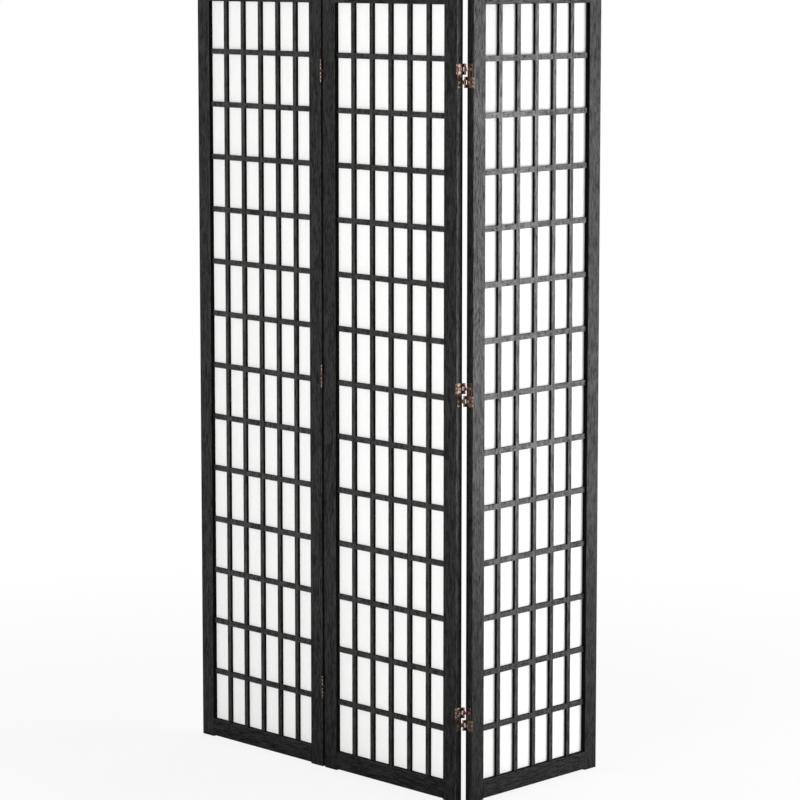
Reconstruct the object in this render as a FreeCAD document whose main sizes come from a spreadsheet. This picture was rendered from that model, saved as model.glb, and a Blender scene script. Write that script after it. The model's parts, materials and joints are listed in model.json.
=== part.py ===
"""Three-panel folding screen: framed lattice panels with paper, joined by crossed-link hinges.

Millimetres, +Z up, floor at Z = 0.  Panels 1 and 2 stand in line along X with their front
faces towards -Y; panel 3 is folded back about the second hinge line.  The origin is on the
floor, at the middle of the whole screen's plan.
"""
import FreeCAD, Part
import os
import re

import Sketcher

# ---------------------------------------------------------------- driving dimensions
SIZES = {
    # panel
    "panel_width": 445.0,
    "panel_height": 1780.0,
    "frame_thickness": 18.0,
    "stile_width": 41.0,
    "rail_height": 40.0,
    "rail_inset": 3.0,          # how far the rails stop short of the stiles' ends
    "arris_bevel": 0.8,         # flat taken off the frame's edges
    "tenon_length": 25.0,
    "tenon_thickness": 6.0,
    "tenon_shoulder": 5.0,      # rail face above and below its tenon
    "joint_clearance": 0.1,     # round tenons and strip ends
    # lattice and paper
    "column_count": 6.0,
    "row_count": 14.0,
    "strip_width": 12.0,
    "strip_thickness": 6.2,
    "lattice_setback": 5.0,
    "socket_depth": 5.0,
    "lap_clearance": 0.05,
    "paper_thickness": 0.3,
    "paper_margin": 0.5,
    "bead_width": 7.0,
    "bead_depth": 6.0,
    # hinge
    "panel_gap": 8.0,
    "hinge_height": 52.0,
    "hinge_half_gap": 4.0,
    "low_hinge_level": 186.0,
    "middle_hinge_level": 900.0,
    "high_hinge_level": 1586.0,
    "pin_standoff": 2.4,        # pin axes stand this far out from the faces of the frame
    "pin_diameter": 2.4,
    "pin_clearance": 0.08,
    "barrel_diameter": 5.0,
    "plate_thickness": 1.2,
    "leaf_margin": 2.0,         # leaf edge to the face of the frame
    "leaf_bend": 3.0,           # where the leaf turns out to its barrel
    "middle_knuckle": 8.8,
    "knuckle_clearance": 0.2,
    "notch_clearance": 1.0,
    "driver_hole": 7.0,         # hole in a link, through which a leaf's screw is reached
    "driver_offset": 2.5,       # the hole's centre off the middle of the frame
    "barrel_sides": 8.0,        # flats of a knuckle, which touch its true circle
    "bore_sides": 6.0,
    "hole_sides": 12.0,
    # pose in which the screen stands
    "fold_angle": 98.0,
}

# ---------------------------------------------------------------- derived lengths, as formulas
OPENING_WIDTH = "(panel_width - 2 * stile_width)"
OPENING_BASE = "(rail_inset + rail_height)"
OPENING_HEIGHT = "(panel_height - 2 * rail_inset - 2 * rail_height)"
CELL_WIDTH = f"(({OPENING_WIDTH} - (column_count - 1) * strip_width) / column_count)"
CELL_HEIGHT = f"(({OPENING_HEIGHT} - (row_count - 1) * strip_width) / row_count)"
COLUMN_PITCH = f"({CELL_WIDTH} + strip_width)"
ROW_PITCH = f"({CELL_HEIGHT} + strip_width)"
FIRST_UPRIGHT = f"(stile_width + {CELL_WIDTH})"
FIRST_CROSSBAR = f"({OPENING_BASE} + {CELL_HEIGHT})"
PAPER_FACE = "(lattice_setback + strip_thickness)"
LAP_FACE = "(lattice_setback + strip_thickness / 2)"
TENON_FACE = "((frame_thickness - tenon_thickness) / 2)"

PIN_RADIUS = "(pin_diameter / 2)"
BARREL_RADIUS = "(barrel_diameter / 2)"
BACK_PIN = "(frame_thickness + pin_standoff)"
HALF_HEIGHT = "((hinge_height - hinge_half_gap) / 2)"
HALF_CENTRE = "((hinge_height + hinge_half_gap) / 4)"
END_KNUCKLE = f"(({HALF_HEIGHT} - middle_knuckle) / 2 - knuckle_clearance)"
HINGE_LEVELS = {"low": "low_hinge_level", "middle": "middle_hinge_level", "high": "high_hinge_level"}

# the leaf's bent strip: from its bend, tangent to the middle line of the curl
WEB_ACROSS = "(panel_gap / 2 - plate_thickness / 2)"
WEB_ALONG = "(pin_standoff + leaf_bend)"
CURL_RADIUS = f"({BARREL_RADIUS} - plate_thickness / 2)"
WEB_LENGTH = f"sqrt({WEB_ACROSS}^2 + {WEB_ALONG}^2 - {CURL_RADIUS}^2)"
WEB_ANGLE = f"(atan({WEB_ACROSS} / {WEB_ALONG}) - asin({CURL_RADIUS} / sqrt({WEB_ACROSS}^2 + {WEB_ALONG}^2)))"

# plan extents, measured from the middle panel's left edge and front face
LEFT_EXTENT = "(-(panel_width + panel_gap))"
RIGHT_EXTENT = (
    "(panel_width + panel_gap / 2 + (frame_thickness + 2 * pin_standoff) * sin(fold_angle)"
    f" + {BARREL_RADIUS})"
)
FRONT_EXTENT = f"(-(pin_standoff + {BARREL_RADIUS}))"
BACK_EXTENT = f"({BACK_PIN} * (1 - cos(fold_angle)) + (panel_width + panel_gap / 2) * sin(fold_angle))"
PLAN_X = f"(-({LEFT_EXTENT} + {RIGHT_EXTENT}) / 2)"
PLAN_Y = f"(-({FRONT_EXTENT} + {BACK_EXTENT}) / 2)"

# where the panels and the hinge lines stand: (x, y, turn) of their own left front corner
FOLD_X = f"({PLAN_X} + panel_width + panel_gap / 2)"
PANEL_PLACES = {
    "panel_1": (f"{PLAN_X} - panel_width - panel_gap", PLAN_Y, None),
    "panel_2": (PLAN_X, PLAN_Y, None),
    "panel_3": (
        f"{FOLD_X} + {BACK_PIN} * sin(fold_angle) + panel_gap / 2 * cos(fold_angle)",
        f"{PLAN_Y} + {BACK_PIN} * (1 - cos(fold_angle)) + panel_gap / 2 * sin(fold_angle)",
        "fold_angle",
    ),
}
LINE_12 = (f"{PLAN_X} - panel_gap / 2", PLAN_Y, None)
LINE_23 = (FOLD_X, PLAN_Y, None)
LINE_23_FOLDED = (
    f"{FOLD_X} + {BACK_PIN} * sin(fold_angle)",
    f"{PLAN_Y} + {BACK_PIN} * (1 - cos(fold_angle))",
    "fold_angle",
)

doc = FreeCAD.newDocument("FoldingScreen")
sheet = doc.addObject("Spreadsheet::Sheet", "Sizes")
nodes = []

UPRIGHT = FreeCAD.Vector(0, 0, 1)


# ---------------------------------------------------------------- document helpers
def fill_sheet():
    for row, (alias, value) in enumerate(SIZES.items(), start=1):
        sheet.set(f"A{row}", alias)
        sheet.set(f"B{row}", str(value))
        sheet.setAlias(f"B{row}", alias)
    doc.recompute()


def bind(obj, target, formula):
    """Tie one property to a formula written in the sheet's aliases."""
    text = re.sub(r"[a-z_0-9]+", lambda word: f"Sizes.{word[0]}" if word[0] in SIZES else word[0], formula)
    obj.setExpression(target, text)


def place(obj, x="0", y="0", z="0", turn=None, axis=UPRIGHT):
    """Put an object at formulas x, y, z, turned about an axis by a formula in degrees."""
    if turn is not None:
        obj.Placement = FreeCAD.Placement(FreeCAD.Vector(), FreeCAD.Rotation(axis, 1))
        bind(obj, "Placement.Rotation.Angle", turn)
    for letter, formula in zip("xyz", (x, y, z)):
        bind(obj, f"Placement.Base.{letter}", formula)
    return obj


def add_node(obj, label, spot):
    """Name a finished sub-part and stand it in the screen."""
    obj.Label = label
    x, y, turn = spot
    place(obj, x, y, turn=turn)
    nodes.append(obj)


# ---------------------------------------------------------------- body helpers
def new_body(name):
    body = doc.addObject("PartDesign::Body", name)
    body.AllowCompound = True
    return body


def origin_part(body, role):
    return next(item for item in body.Origin.OriginFeatures if item.Role == role)


def new_sketch(body, plane, offset):
    sketch = body.newObject("Sketcher::SketchObject", "sketch")
    sketch.AttachmentSupport = [(origin_part(body, plane), "")]
    sketch.MapMode = "FlatFace"
    bind(sketch, "AttachmentOffset.Base.z", offset)
    return sketch


def measure(sketch, kind, name, formula, *picks):
    """Add a named dimension to a sketch and tie it to a formula."""
    index = sketch.addConstraint(Sketcher.Constraint(kind, *picks, 1.0))
    sketch.renameConstraint(index, name)
    bind(sketch, f"Constraints.{name}", formula)


def rectangle(body, plane, offset, left, bottom, width, height):
    """A rectangle in a plane of the body, from its lower left corner."""
    sketch = new_sketch(body, plane, offset)
    corners = [FreeCAD.Vector(1, 1), FreeCAD.Vector(2, 1), FreeCAD.Vector(2, 2), FreeCAD.Vector(1, 2)]
    for index, corner in enumerate(corners):
        sketch.addGeometry(Part.LineSegment(corner, corners[(index + 1) % 4]), False)
    for index in range(4):
        sketch.addConstraint(Sketcher.Constraint("Coincident", index, 2, (index + 1) % 4, 1))
        sketch.addConstraint(Sketcher.Constraint(("Horizontal", "Vertical")[index % 2], index))
    measure(sketch, "DistanceX", "left", left, -1, 1, 0, 1)
    measure(sketch, "DistanceY", "bottom", bottom, -1, 1, 0, 1)
    measure(sketch, "DistanceX", "width", width, 0, 1, 0, 2)
    measure(sketch, "DistanceY", "height", height, 1, 1, 1, 2)
    return sketch


def extrude(body, kind, sketch, length, reverse=False):
    """Pad or Pocket a sketch by a formula."""
    feature = body.newObject(f"PartDesign::{kind}", kind.lower())
    feature.Profile = sketch
    feature.Type = "Length"
    feature.Reversed = reverse
    bind(feature, "Length", length)
    return feature


def repeat(body, feature, axis, spacing, count):
    """Repeat a feature along an axis of the body."""
    pattern = body.newObject("PartDesign::LinearPattern", "pattern")
    pattern.Originals = [feature]
    pattern.Direction = (origin_part(body, axis), [""])
    pattern.Mode = "Extent"
    bind(pattern, "Occurrences", count)
    bind(pattern, "Length", f"{spacing} * ({count} - 1)")
    body.Tip = pattern
    return pattern


def bevel_edges(body, feature, direction=None):
    """Take the arris off every edge of a feature that runs along a direction, or off all edges."""
    doc.recompute()
    names = []
    for index, edge in enumerate(feature.Shape.Edges, start=1):
        if direction is None or abs(edge.tangentAt(edge.FirstParameter).dot(direction)) > 0.99:
            names.append(f"Edge{index}")
    bevel = body.newObject("PartDesign::Chamfer", "bevel")
    bevel.Base = (feature, names)
    bind(bevel, "Size", "arris_bevel")
    return bevel


# ---------------------------------------------------------------- panel pieces
def make_stile(name, is_left):
    """Upright of the frame, mortised for the rails and socketed for the crossbars."""
    body = new_body(name)
    inner_face = "stile_width" if is_left else "(panel_width - stile_width)"
    low_edge = "0" if is_left else inner_face
    profile = rectangle(body, "XY_Plane", "0", low_edge, "0", "stile_width", "frame_thickness")
    post = extrude(body, "Pad", profile, "panel_height")
    bevel_edges(body, post)

    tenon_height = "(rail_height - 2 * tenon_shoulder)"
    for base in ("rail_inset + tenon_shoulder", "panel_height - rail_inset - rail_height + tenon_shoulder"):
        mortise = rectangle(
            body, "YZ_Plane", inner_face,
            f"{TENON_FACE} - joint_clearance", f"{base} - joint_clearance",
            "tenon_thickness + 2 * joint_clearance", f"{tenon_height} + 2 * joint_clearance",
        )
        extrude(body, "Pocket", mortise, "tenon_length + joint_clearance", reverse=not is_left)

    socket = rectangle(
        body, "YZ_Plane", inner_face,
        "lattice_setback - joint_clearance", f"{FIRST_CROSSBAR} - joint_clearance",
        "strip_thickness + 2 * joint_clearance", "strip_width + 2 * joint_clearance",
    )
    sockets = extrude(body, "Pocket", socket, "socket_depth + joint_clearance", reverse=not is_left)
    repeat(body, sockets, "Z_Axis", ROW_PITCH, "(row_count - 1)")
    return body


def make_rail(name, is_bottom):
    """Cross piece of the frame with a tenon at each end and sockets for the uprights."""
    body = new_body(name)
    base = "rail_inset" if is_bottom else "(panel_height - rail_inset - rail_height)"
    profile = rectangle(body, "YZ_Plane", "stile_width", "0", base, "frame_thickness", "rail_height")
    bar = extrude(body, "Pad", profile, OPENING_WIDTH)
    bevel_edges(body, bar, FreeCAD.Vector(1, 0, 0))

    tongue = rectangle(
        body, "YZ_Plane", "stile_width - tenon_length",
        TENON_FACE, f"{base} + tenon_shoulder", "tenon_thickness", "rail_height - 2 * tenon_shoulder",
    )
    extrude(body, "Pad", tongue, f"{OPENING_WIDTH} + 2 * tenon_length")

    inner_face = f"{base} + rail_height" if is_bottom else base
    socket = rectangle(
        body, "XY_Plane", inner_face,
        f"{FIRST_UPRIGHT} - joint_clearance", "lattice_setback - joint_clearance",
        "strip_width + 2 * joint_clearance", "strip_thickness + 2 * joint_clearance",
    )
    sockets = extrude(body, "Pocket", socket, "socket_depth + joint_clearance", reverse=not is_bottom)
    repeat(body, sockets, "X_Axis", COLUMN_PITCH, "(column_count - 1)")
    return body


def make_uprights(name):
    """Upright lattice strips, unbroken in front and notched at the back over every crossbar."""
    body = new_body(name)
    profile = rectangle(
        body, "XY_Plane", f"{OPENING_BASE} - socket_depth",
        FIRST_UPRIGHT, "lattice_setback", "strip_width", "strip_thickness",
    )
    strip = extrude(body, "Pad", profile, f"{OPENING_HEIGHT} + 2 * socket_depth")
    repeat(body, strip, "X_Axis", COLUMN_PITCH, "(column_count - 1)")
    notch = rectangle(
        body, "XY_Plane", f"{FIRST_CROSSBAR} - lap_clearance",
        "stile_width", f"{LAP_FACE} - lap_clearance / 2", OPENING_WIDTH, "strip_thickness",
    )
    notches = extrude(body, "Pocket", notch, "strip_width + 2 * lap_clearance", reverse=True)
    repeat(body, notches, "Z_Axis", ROW_PITCH, "(row_count - 1)")
    return body


def make_crossbars(name):
    """Level lattice strips, notched in front under every upright."""
    body = new_body(name)
    profile = rectangle(
        body, "XY_Plane", FIRST_CROSSBAR,
        "stile_width - socket_depth", "lattice_setback",
        f"{OPENING_WIDTH} + 2 * socket_depth", "strip_thickness",
    )
    strip = extrude(body, "Pad", profile, "strip_width")
    repeat(body, strip, "Z_Axis", ROW_PITCH, "(row_count - 1)")
    notch = rectangle(
        body, "XY_Plane", "0",
        f"{FIRST_UPRIGHT} - lap_clearance", f"{LAP_FACE} + lap_clearance / 2 - strip_thickness",
        "strip_width + 2 * lap_clearance", "strip_thickness",
    )
    notches = extrude(body, "Pocket", notch, "panel_height", reverse=True)
    repeat(body, notches, "X_Axis", COLUMN_PITCH, "(column_count - 1)")
    return body


def make_block(name, corner, size):
    """A plain Part box from its corner and size, all formulas."""
    block = doc.addObject("Part::Box", name)
    for side, formula in zip(("Length", "Width", "Height"), size):
        bind(block, side, formula)
    return place(block, *corner)


def make_paper(name):
    """Sheet of paper glued to the back of the lattice."""
    corner = ("stile_width + paper_margin", PAPER_FACE, f"{OPENING_BASE} + paper_margin")
    size = (f"{OPENING_WIDTH} - 2 * paper_margin", "paper_thickness", f"{OPENING_HEIGHT} - 2 * paper_margin")
    return make_block(name, corner, size)


def make_beads(name):
    """Four strips that hold the paper's edges from behind, the side ones running through."""
    back = f"{PAPER_FACE} + paper_thickness"
    side_size = ("bead_width", "bead_depth", OPENING_HEIGHT)
    end_size = (f"{OPENING_WIDTH} - 2 * bead_width", "bead_depth", "bead_width")
    end_left = "stile_width + bead_width"
    top = "panel_height - rail_inset - rail_height - bead_width"
    return {
        "left_bead": make_block(f"{name}_left", ("stile_width", back, OPENING_BASE), side_size),
        "right_bead": make_block(
            f"{name}_right", ("panel_width - stile_width - bead_width", back, OPENING_BASE), side_size
        ),
        "bottom_bead": make_block(f"{name}_bottom", (end_left, back, OPENING_BASE), end_size),
        "top_bead": make_block(f"{name}_top", (end_left, back, top), end_size),
    }


def make_panel(panel):
    """One complete panel in its own frame, then stood in its place."""
    pieces = {
        "left_stile": make_stile(f"{panel}_left_stile", True),
        "right_stile": make_stile(f"{panel}_right_stile", False),
        "top_rail": make_rail(f"{panel}_top_rail", False),
        "bottom_rail": make_rail(f"{panel}_bottom_rail", True),
        "lattice_uprights": make_uprights(f"{panel}_uprights"),
        "lattice_crossbars": make_crossbars(f"{panel}_crossbars"),
    }
    plain = {"paper": make_paper(f"{panel}_sheet"), **make_beads(f"{panel}_bead")}
    pieces.update({piece: gather(f"{panel}_{piece}", [block]) for piece, block in plain.items()})
    for piece, obj in pieces.items():
        add_node(obj, f"{panel}_{piece}", PANEL_PLACES[panel])


# ---------------------------------------------------------------- hinge pieces
# Hinge frame: X across the gap with 0 at its middle, Y = 0 on the front faces, Z = 0 at mid height.
# The left leaf and the upper link are modelled; turned half round the Y axis through the hinge's
# centre they are the right leaf and the lower link.
def make_prism(name, sides, radius, length, corner, turn=None):
    """A Part prism whose flats touch a circle, standing on a point, or lying along X when turned."""
    prism = doc.addObject("Part::Prism", name)
    bind(prism, "Polygon", sides)
    bind(prism, "Circumradius", f"{radius} / cos(180 / {sides})")
    bind(prism, "Height", length)
    if turn:
        return place(prism, *corner, turn=turn, axis=FreeCAD.Vector(0, 1, 0))
    return place(prism, *corner, turn=f"180 / {sides}", axis=UPRIGHT)


def make_knuckle(name, length, corner):
    return make_prism(name, "barrel_sides", BARREL_RADIUS, length, corner)


def make_bore(name, length, corner):
    return make_prism(name, "bore_sides", f"({PIN_RADIUS} + pin_clearance)", length, corner)


def make_pin():
    """Round pin as long as one half of the hinge, standing on the origin."""
    pin = doc.addObject("Part::Cylinder", "hinge_pin")
    bind(pin, "Radius", PIN_RADIUS)
    bind(pin, "Height", HALF_HEIGHT)
    return pin


def join(name, pieces):
    fuse = doc.addObject("Part::MultiFuse", name)
    fuse.Shapes = pieces
    return fuse


def carve(name, base, tools):
    cut = doc.addObject("Part::Cut", name)
    cut.Base = base
    cut.Tool = join(f"{name}_tools", tools)
    return cut


def gather(name, pieces):
    group = doc.addObject("Part::Compound", name)
    group.Links = pieces
    return group


def bent_strip(name, at_front):
    """The part of a leaf that turns out from the plate and meets its barrel on a tangent."""
    web = doc.addObject("Part::Box", name)
    bind(web, "Length", "plate_thickness")
    bind(web, "Width", WEB_LENGTH)
    bind(web, "Height", "middle_knuckle")
    half = "plate_thickness / 2"
    start_x = f"(-panel_gap / 2 + {half})"
    if at_front:
        x = f"{start_x} + {WEB_LENGTH} * sin({WEB_ANGLE}) - {half} * cos({WEB_ANGLE})"
        y = f"leaf_bend - {WEB_LENGTH} * cos({WEB_ANGLE}) - {half} * sin({WEB_ANGLE})"
        return place(web, x, y, f"{HALF_CENTRE} - middle_knuckle / 2", turn=WEB_ANGLE)
    x = f"{start_x} - {half} * cos({WEB_ANGLE})"
    y = f"frame_thickness - leaf_bend + {half} * sin({WEB_ANGLE})"
    return place(web, x, y, f"-{HALF_CENTRE} - middle_knuckle / 2", turn=f"-{WEB_ANGLE}")


def make_leaf():
    """Left leaf: a plate on the stile's edge, a front knuckle above and a back knuckle below."""
    plate = make_block(
        "leaf_plate",
        ("-panel_gap / 2", "leaf_margin", "-hinge_height / 2"),
        ("plate_thickness", "frame_thickness - 2 * leaf_margin", "hinge_height"),
    )
    solids = [plate, bent_strip("leaf_front_web", True), bent_strip("leaf_back_web", False)]
    bores = []
    knuckles = (("front", "-pin_standoff", HALF_CENTRE), ("back", BACK_PIN, f"-{HALF_CENTRE}"))
    for side, axis_y, centre in knuckles:
        foot = ("0", axis_y, f"{centre} - middle_knuckle / 2")
        solids.append(make_knuckle(f"leaf_{side}_knuckle", "middle_knuckle", foot))
        low = ("0", axis_y, "-hinge_height / 2")
        bores.append(make_bore(f"leaf_{side}_bore", "hinge_height", low))
    return carve("hinge_leaf", join("leaf_blank", solids), bores)


def make_link():
    """Upper link: a plate between both pins with end knuckles, notched for the leaves' knuckles."""
    low = f"{HALF_CENTRE} - {HALF_HEIGHT} / 2"
    high = f"{HALF_CENTRE} + {HALF_HEIGHT} / 2 - {END_KNUCKLE}"
    plate = make_block(
        "link_plate",
        (f"-{BARREL_RADIUS}", "-pin_standoff", low),
        ("plate_thickness", f"{BACK_PIN} + pin_standoff", HALF_HEIGHT),
    )
    solids = [plate]
    cuts = []
    for side, axis_y in (("front", "-pin_standoff"), ("back", BACK_PIN)):
        for end, foot in (("low", low), ("high", high)):
            solids.append(make_knuckle(f"link_{side}_{end}", END_KNUCKLE, ("0", axis_y, foot)))
        cuts.append(make_bore(f"link_{side}_bore", HALF_HEIGHT, ("0", axis_y, low)))
    notch_height = "middle_knuckle + 2 * knuckle_clearance"
    notch_foot = f"{HALF_CENTRE} - middle_knuckle / 2 - knuckle_clearance"
    cuts.append(make_block(
        "link_front_notch",
        ("-barrel_diameter", "-pin_standoff - barrel_diameter", notch_foot),
        ("barrel_diameter * 2", "pin_standoff + barrel_diameter + leaf_bend + notch_clearance", notch_height),
    ))
    cuts.append(make_block(
        "link_back_notch",
        ("-barrel_diameter", f"{BACK_PIN} - {BARREL_RADIUS} - notch_clearance", notch_foot),
        ("barrel_diameter * 2", "barrel_diameter * 2", notch_height),
    ))
    hole_spot = ("-barrel_diameter", "frame_thickness / 2 + driver_offset", HALF_CENTRE)
    cuts.append(make_prism(
        "link_driver_hole", "hole_sides", "(driver_hole / 2)", "barrel_diameter * 2", hole_spot, turn="90"
    ))
    return carve("hinge_link", join("link_blank", solids), cuts)


def copy_of(source, name, x="0", y="0", z="0", turn=None, axis=FreeCAD.Vector(0, 1, 0)):
    link = doc.addObject("App::Link", name)
    link.LinkedObject = source
    return place(link, x, y, z, turn=turn, axis=axis)


def make_hinge_line(line, left_spot, right_spot, parts):
    """Three hinges: what is fixed to the left panel stands at left_spot, the rest at right_spot."""
    leaf, link, pin = parts
    groups = {}

    def add(group, source, *spot, turn=None):
        members = groups.setdefault(group, [])
        members.append(copy_of(source, f"{line}_{group}_{len(members)}", *spot, turn=turn))

    for level in HINGE_LEVELS.values():
        add("left_leaves", leaf, "0", "0", level)
        add("right_leaves", leaf, "0", "0", level, turn="180")
        add("upper_links", link, "0", "0", level)
        add("lower_links", link, "0", "0", level, turn="180")
        upper_foot = f"{level} + {HALF_CENTRE} - {HALF_HEIGHT} / 2"
        lower_foot = f"{level} - {HALF_CENTRE} - {HALF_HEIGHT} / 2"
        add("left_pins", pin, "0", "-pin_standoff", upper_foot)
        add("left_pins", pin, "0", BACK_PIN, lower_foot)
        add("right_pins", pin, "0", BACK_PIN, upper_foot)
        add("right_pins", pin, "0", "-pin_standoff", lower_foot)

    for group, members in groups.items():
        spot = left_spot if group.startswith(("left", "upper")) else right_spot
        add_node(gather(f"{line}_{group}", members), f"{line}_{group}", spot)


# ---------------------------------------------------------------- build, check and write
def check_document():
    doc.recompute()
    for obj in doc.Objects:
        if "Invalid" in obj.State or "Error" in obj.State:
            raise RuntimeError(f"{obj.Name} failed: {obj.State}")
    for obj in nodes:
        if obj.Shape.isNull() or not obj.Shape.isValid():
            raise RuntimeError(f"{obj.Label} has no valid shape")
        print(f"{obj.Label}: {len(obj.Shape.Solids)} solids, {obj.Shape.Volume:.1f} mm3")


def write_nodes():
    os.makedirs("parts", exist_ok=True)
    for obj in nodes:
        obj.Shape.exportStep(f"parts/{obj.Label}.step")


fill_sheet()
for panel_name in PANEL_PLACES:
    make_panel(panel_name)
hinge_parts = (make_leaf(), make_link(), make_pin())
make_hinge_line("hinge_12", LINE_12, LINE_12, hinge_parts)
make_hinge_line("hinge_23", LINE_23, LINE_23_FOLDED, hinge_parts)
check_document()
write_nodes()
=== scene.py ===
"""Finishes, hinges and stage of a black three-panel folding screen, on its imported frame.

Metres, +Z up, floor at Z = 0.  Panels 1 and 2 stand in line along X; panel 3 is folded back.
"""
import json
import math

import bmesh
import bpy
from bpy.props import FloatProperty, FloatVectorProperty, PointerProperty
from mathutils import Matrix, Vector

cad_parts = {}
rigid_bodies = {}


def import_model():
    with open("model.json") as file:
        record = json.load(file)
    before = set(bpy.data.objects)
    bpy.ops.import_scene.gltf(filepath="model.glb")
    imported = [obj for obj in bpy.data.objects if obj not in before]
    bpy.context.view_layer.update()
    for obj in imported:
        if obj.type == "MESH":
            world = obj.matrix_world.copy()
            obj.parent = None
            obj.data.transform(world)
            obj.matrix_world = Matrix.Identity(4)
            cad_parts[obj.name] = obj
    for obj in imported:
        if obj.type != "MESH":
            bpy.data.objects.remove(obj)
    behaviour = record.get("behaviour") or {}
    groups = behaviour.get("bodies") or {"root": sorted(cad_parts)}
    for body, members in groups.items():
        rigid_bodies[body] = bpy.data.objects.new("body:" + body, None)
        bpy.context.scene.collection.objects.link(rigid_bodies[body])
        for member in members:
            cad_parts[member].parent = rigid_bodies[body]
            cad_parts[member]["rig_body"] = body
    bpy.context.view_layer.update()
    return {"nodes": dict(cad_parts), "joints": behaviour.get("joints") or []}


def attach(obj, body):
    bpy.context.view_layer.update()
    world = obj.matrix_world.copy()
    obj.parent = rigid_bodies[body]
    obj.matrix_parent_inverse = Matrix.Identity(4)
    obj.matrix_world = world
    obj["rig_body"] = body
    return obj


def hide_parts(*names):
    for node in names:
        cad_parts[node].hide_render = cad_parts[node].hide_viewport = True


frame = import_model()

bl_info = {
    "name": "Folding Screen",
    "version": (1, 0, 0),
    "blender": (4, 5, 0),
    "location": "View3D > Sidebar > Folding Screen",
    "description": "Stains the lattice panels, papers them, makes the crossed-link hinges and sets the stage",
    "category": "Object",
}

MM = 0.001
JOINTS = {joint["name"]: joint for joint in frame["joints"]}
PANELS = ("panel_1", "panel_2", "panel_3")

BACK_AXIS_12 = Vector(JOINTS["panel_1_back_fold"]["pos_m"])
FRONT_AXIS_12 = Vector(JOINTS["panel_1_front_fold"]["pos_m"])
BACK_AXIS_23 = Vector(JOINTS["panel_3_fold"]["pos_m"])
FOLD = -math.radians(JOINTS["panel_3_fold"]["range_deg"][0])


# ---------------------------------------------------------------- what a user would change
def length(name, description, millimetres):
    """A length whose default is given in millimetres."""
    return FloatProperty(
        name=name, description=description, default=millimetres * MM, unit="LENGTH", precision=5,
    )


def share(name, description, default):
    """A number from 0 to 1."""
    return FloatProperty(
        name=name, description=description, default=default, min=0, max=1, subtype="FACTOR",
    )


def colour(name, description, default):
    """A colour in linear light."""
    return FloatVectorProperty(
        name=name, description=description, default=default, min=0, max=1, subtype="COLOR",
    )


def angle(name, description, degrees):
    """An angle whose default is given in degrees."""
    return FloatProperty(
        name=name, description=description, default=math.radians(degrees), subtype="ANGLE",
    )


def power(name, description, watts):
    """A lamp's power."""
    return FloatProperty(name=name, description=description, default=watts, unit="POWER")


class SCREEN_PG_finish(bpy.types.PropertyGroup):
    """Colours and gloss of the screen's surfaces."""
    stain: colour("Stain", "Black stain on frame and beads", (0.0024, 0.0022, 0.0021))
    stain_worn: colour("Worn Stain", "Stain where the grain shows", (0.0075, 0.007, 0.0066))
    lattice_stain: colour("Lattice Stain", "Black stain on the lattice strips", (0.0034, 0.003, 0.0028))
    lattice_worn: colour("Worn Lattice", "Lattice stain where the grain shows", (0.012, 0.0112, 0.0105))
    stain_gloss: share("Stain Gloss", "Mirror reflection of the stained frame", 0.32)
    lattice_gloss: share("Lattice Gloss", "Mirror reflection of the stained strips", 0.62)
    # Painted highlight along the bevelled arrises, given as a lighter stain colour.
    rubbed: colour("Painted Arris Highlight", "Stain rubbed thin along the arrises", (0.05, 0.047, 0.044))
    pore_gloss: share("Pore Gloss", "Mirror reflection of the open pores", 0.04)
    stain_roughness: share("Stain Roughness", "Roughness of the stained wood", 0.32)
    paper: colour("Paper", "Paper between its fibres", (0.9, 0.9, 0.893))
    fibre: colour("Fibre", "Fibres in the paper", (0.8, 0.798, 0.785))
    copper: colour("Copper", "Rubbed copper plating", (0.13, 0.083, 0.07))
    patina: colour("Patina", "Darkened copper plating", (0.026, 0.014, 0.01))
    pin_steel: colour("Pin Steel", "Hinge pins", (0.1, 0.07, 0.055))
    screw_steel: colour("Screw Steel", "Yellowed screw heads", (0.5, 0.43, 0.27))
    leaf_roughness: share("Leaf Roughness", "Roughness of the leaves", 0.3)
    link_roughness: share("Link Roughness", "Roughness of the links", 0.24)
    pin_roughness: share("Pin Roughness", "Roughness of the pins", 0.4)
    screw_roughness: share("Screw Roughness", "Roughness of the screw heads", 0.3)


class SCREEN_PG_hinge(bpy.types.PropertyGroup):
    """Sizes of one crossed-link hinge and where the three stand."""
    low_level: length("Low Level", "Middle of the lowest hinge above the floor", 186)
    middle_level: length("Middle Level", "Middle of the middle hinge above the floor", 900)
    high_level: length("High Level", "Middle of the highest hinge above the floor", 1586)
    height: length("Height", "Height of the whole hinge", 52)
    half_gap: length("Half Gap", "Gap between its upper and lower half", 4)
    panel_gap: length("Panel Gap", "Gap between two stiles in line", 8)
    plate: length("Plate", "Thickness of the stamped plates", 1.2)
    barrel: length("Barrel", "Diameter of a knuckle", 5)
    pin: length("Pin", "Diameter of a pin", 2.4)
    pin_standoff: length("Pin Standoff", "Pin axes out from the frame's faces", 2.4)
    middle_knuckle: length("Middle Knuckle", "Length of a leaf's knuckle", 8.8)
    knuckle_clearance: length("Knuckle Clearance", "Play between two knuckles", 0.2)
    leaf_margin: length("Leaf Margin", "Leaf's edge in from the frame's face", 2)
    leaf_bend: length("Leaf Bend", "Where the leaf turns out to its knuckle", 3)
    notch_clearance: length("Notch Clearance", "Room round a knuckle in a link's notch", 1)
    screw_stagger: length("Screw Stagger", "Screws off the middle of the frame", 2.5)
    screw_head: length("Screw Head", "Diameter of a screw's head", 5.6)
    driver_hole: length("Driver Hole", "Hole in a link over the screw behind it", 7)
    softening: length("Softening", "Rounding of the stamped edges", 0.2)
    curl: angle("Curl", "How far a leaf is rolled round its pin", 292)
    link_curl: angle("Link Curl", "How far a link is rolled round its pin", 280)


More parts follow.
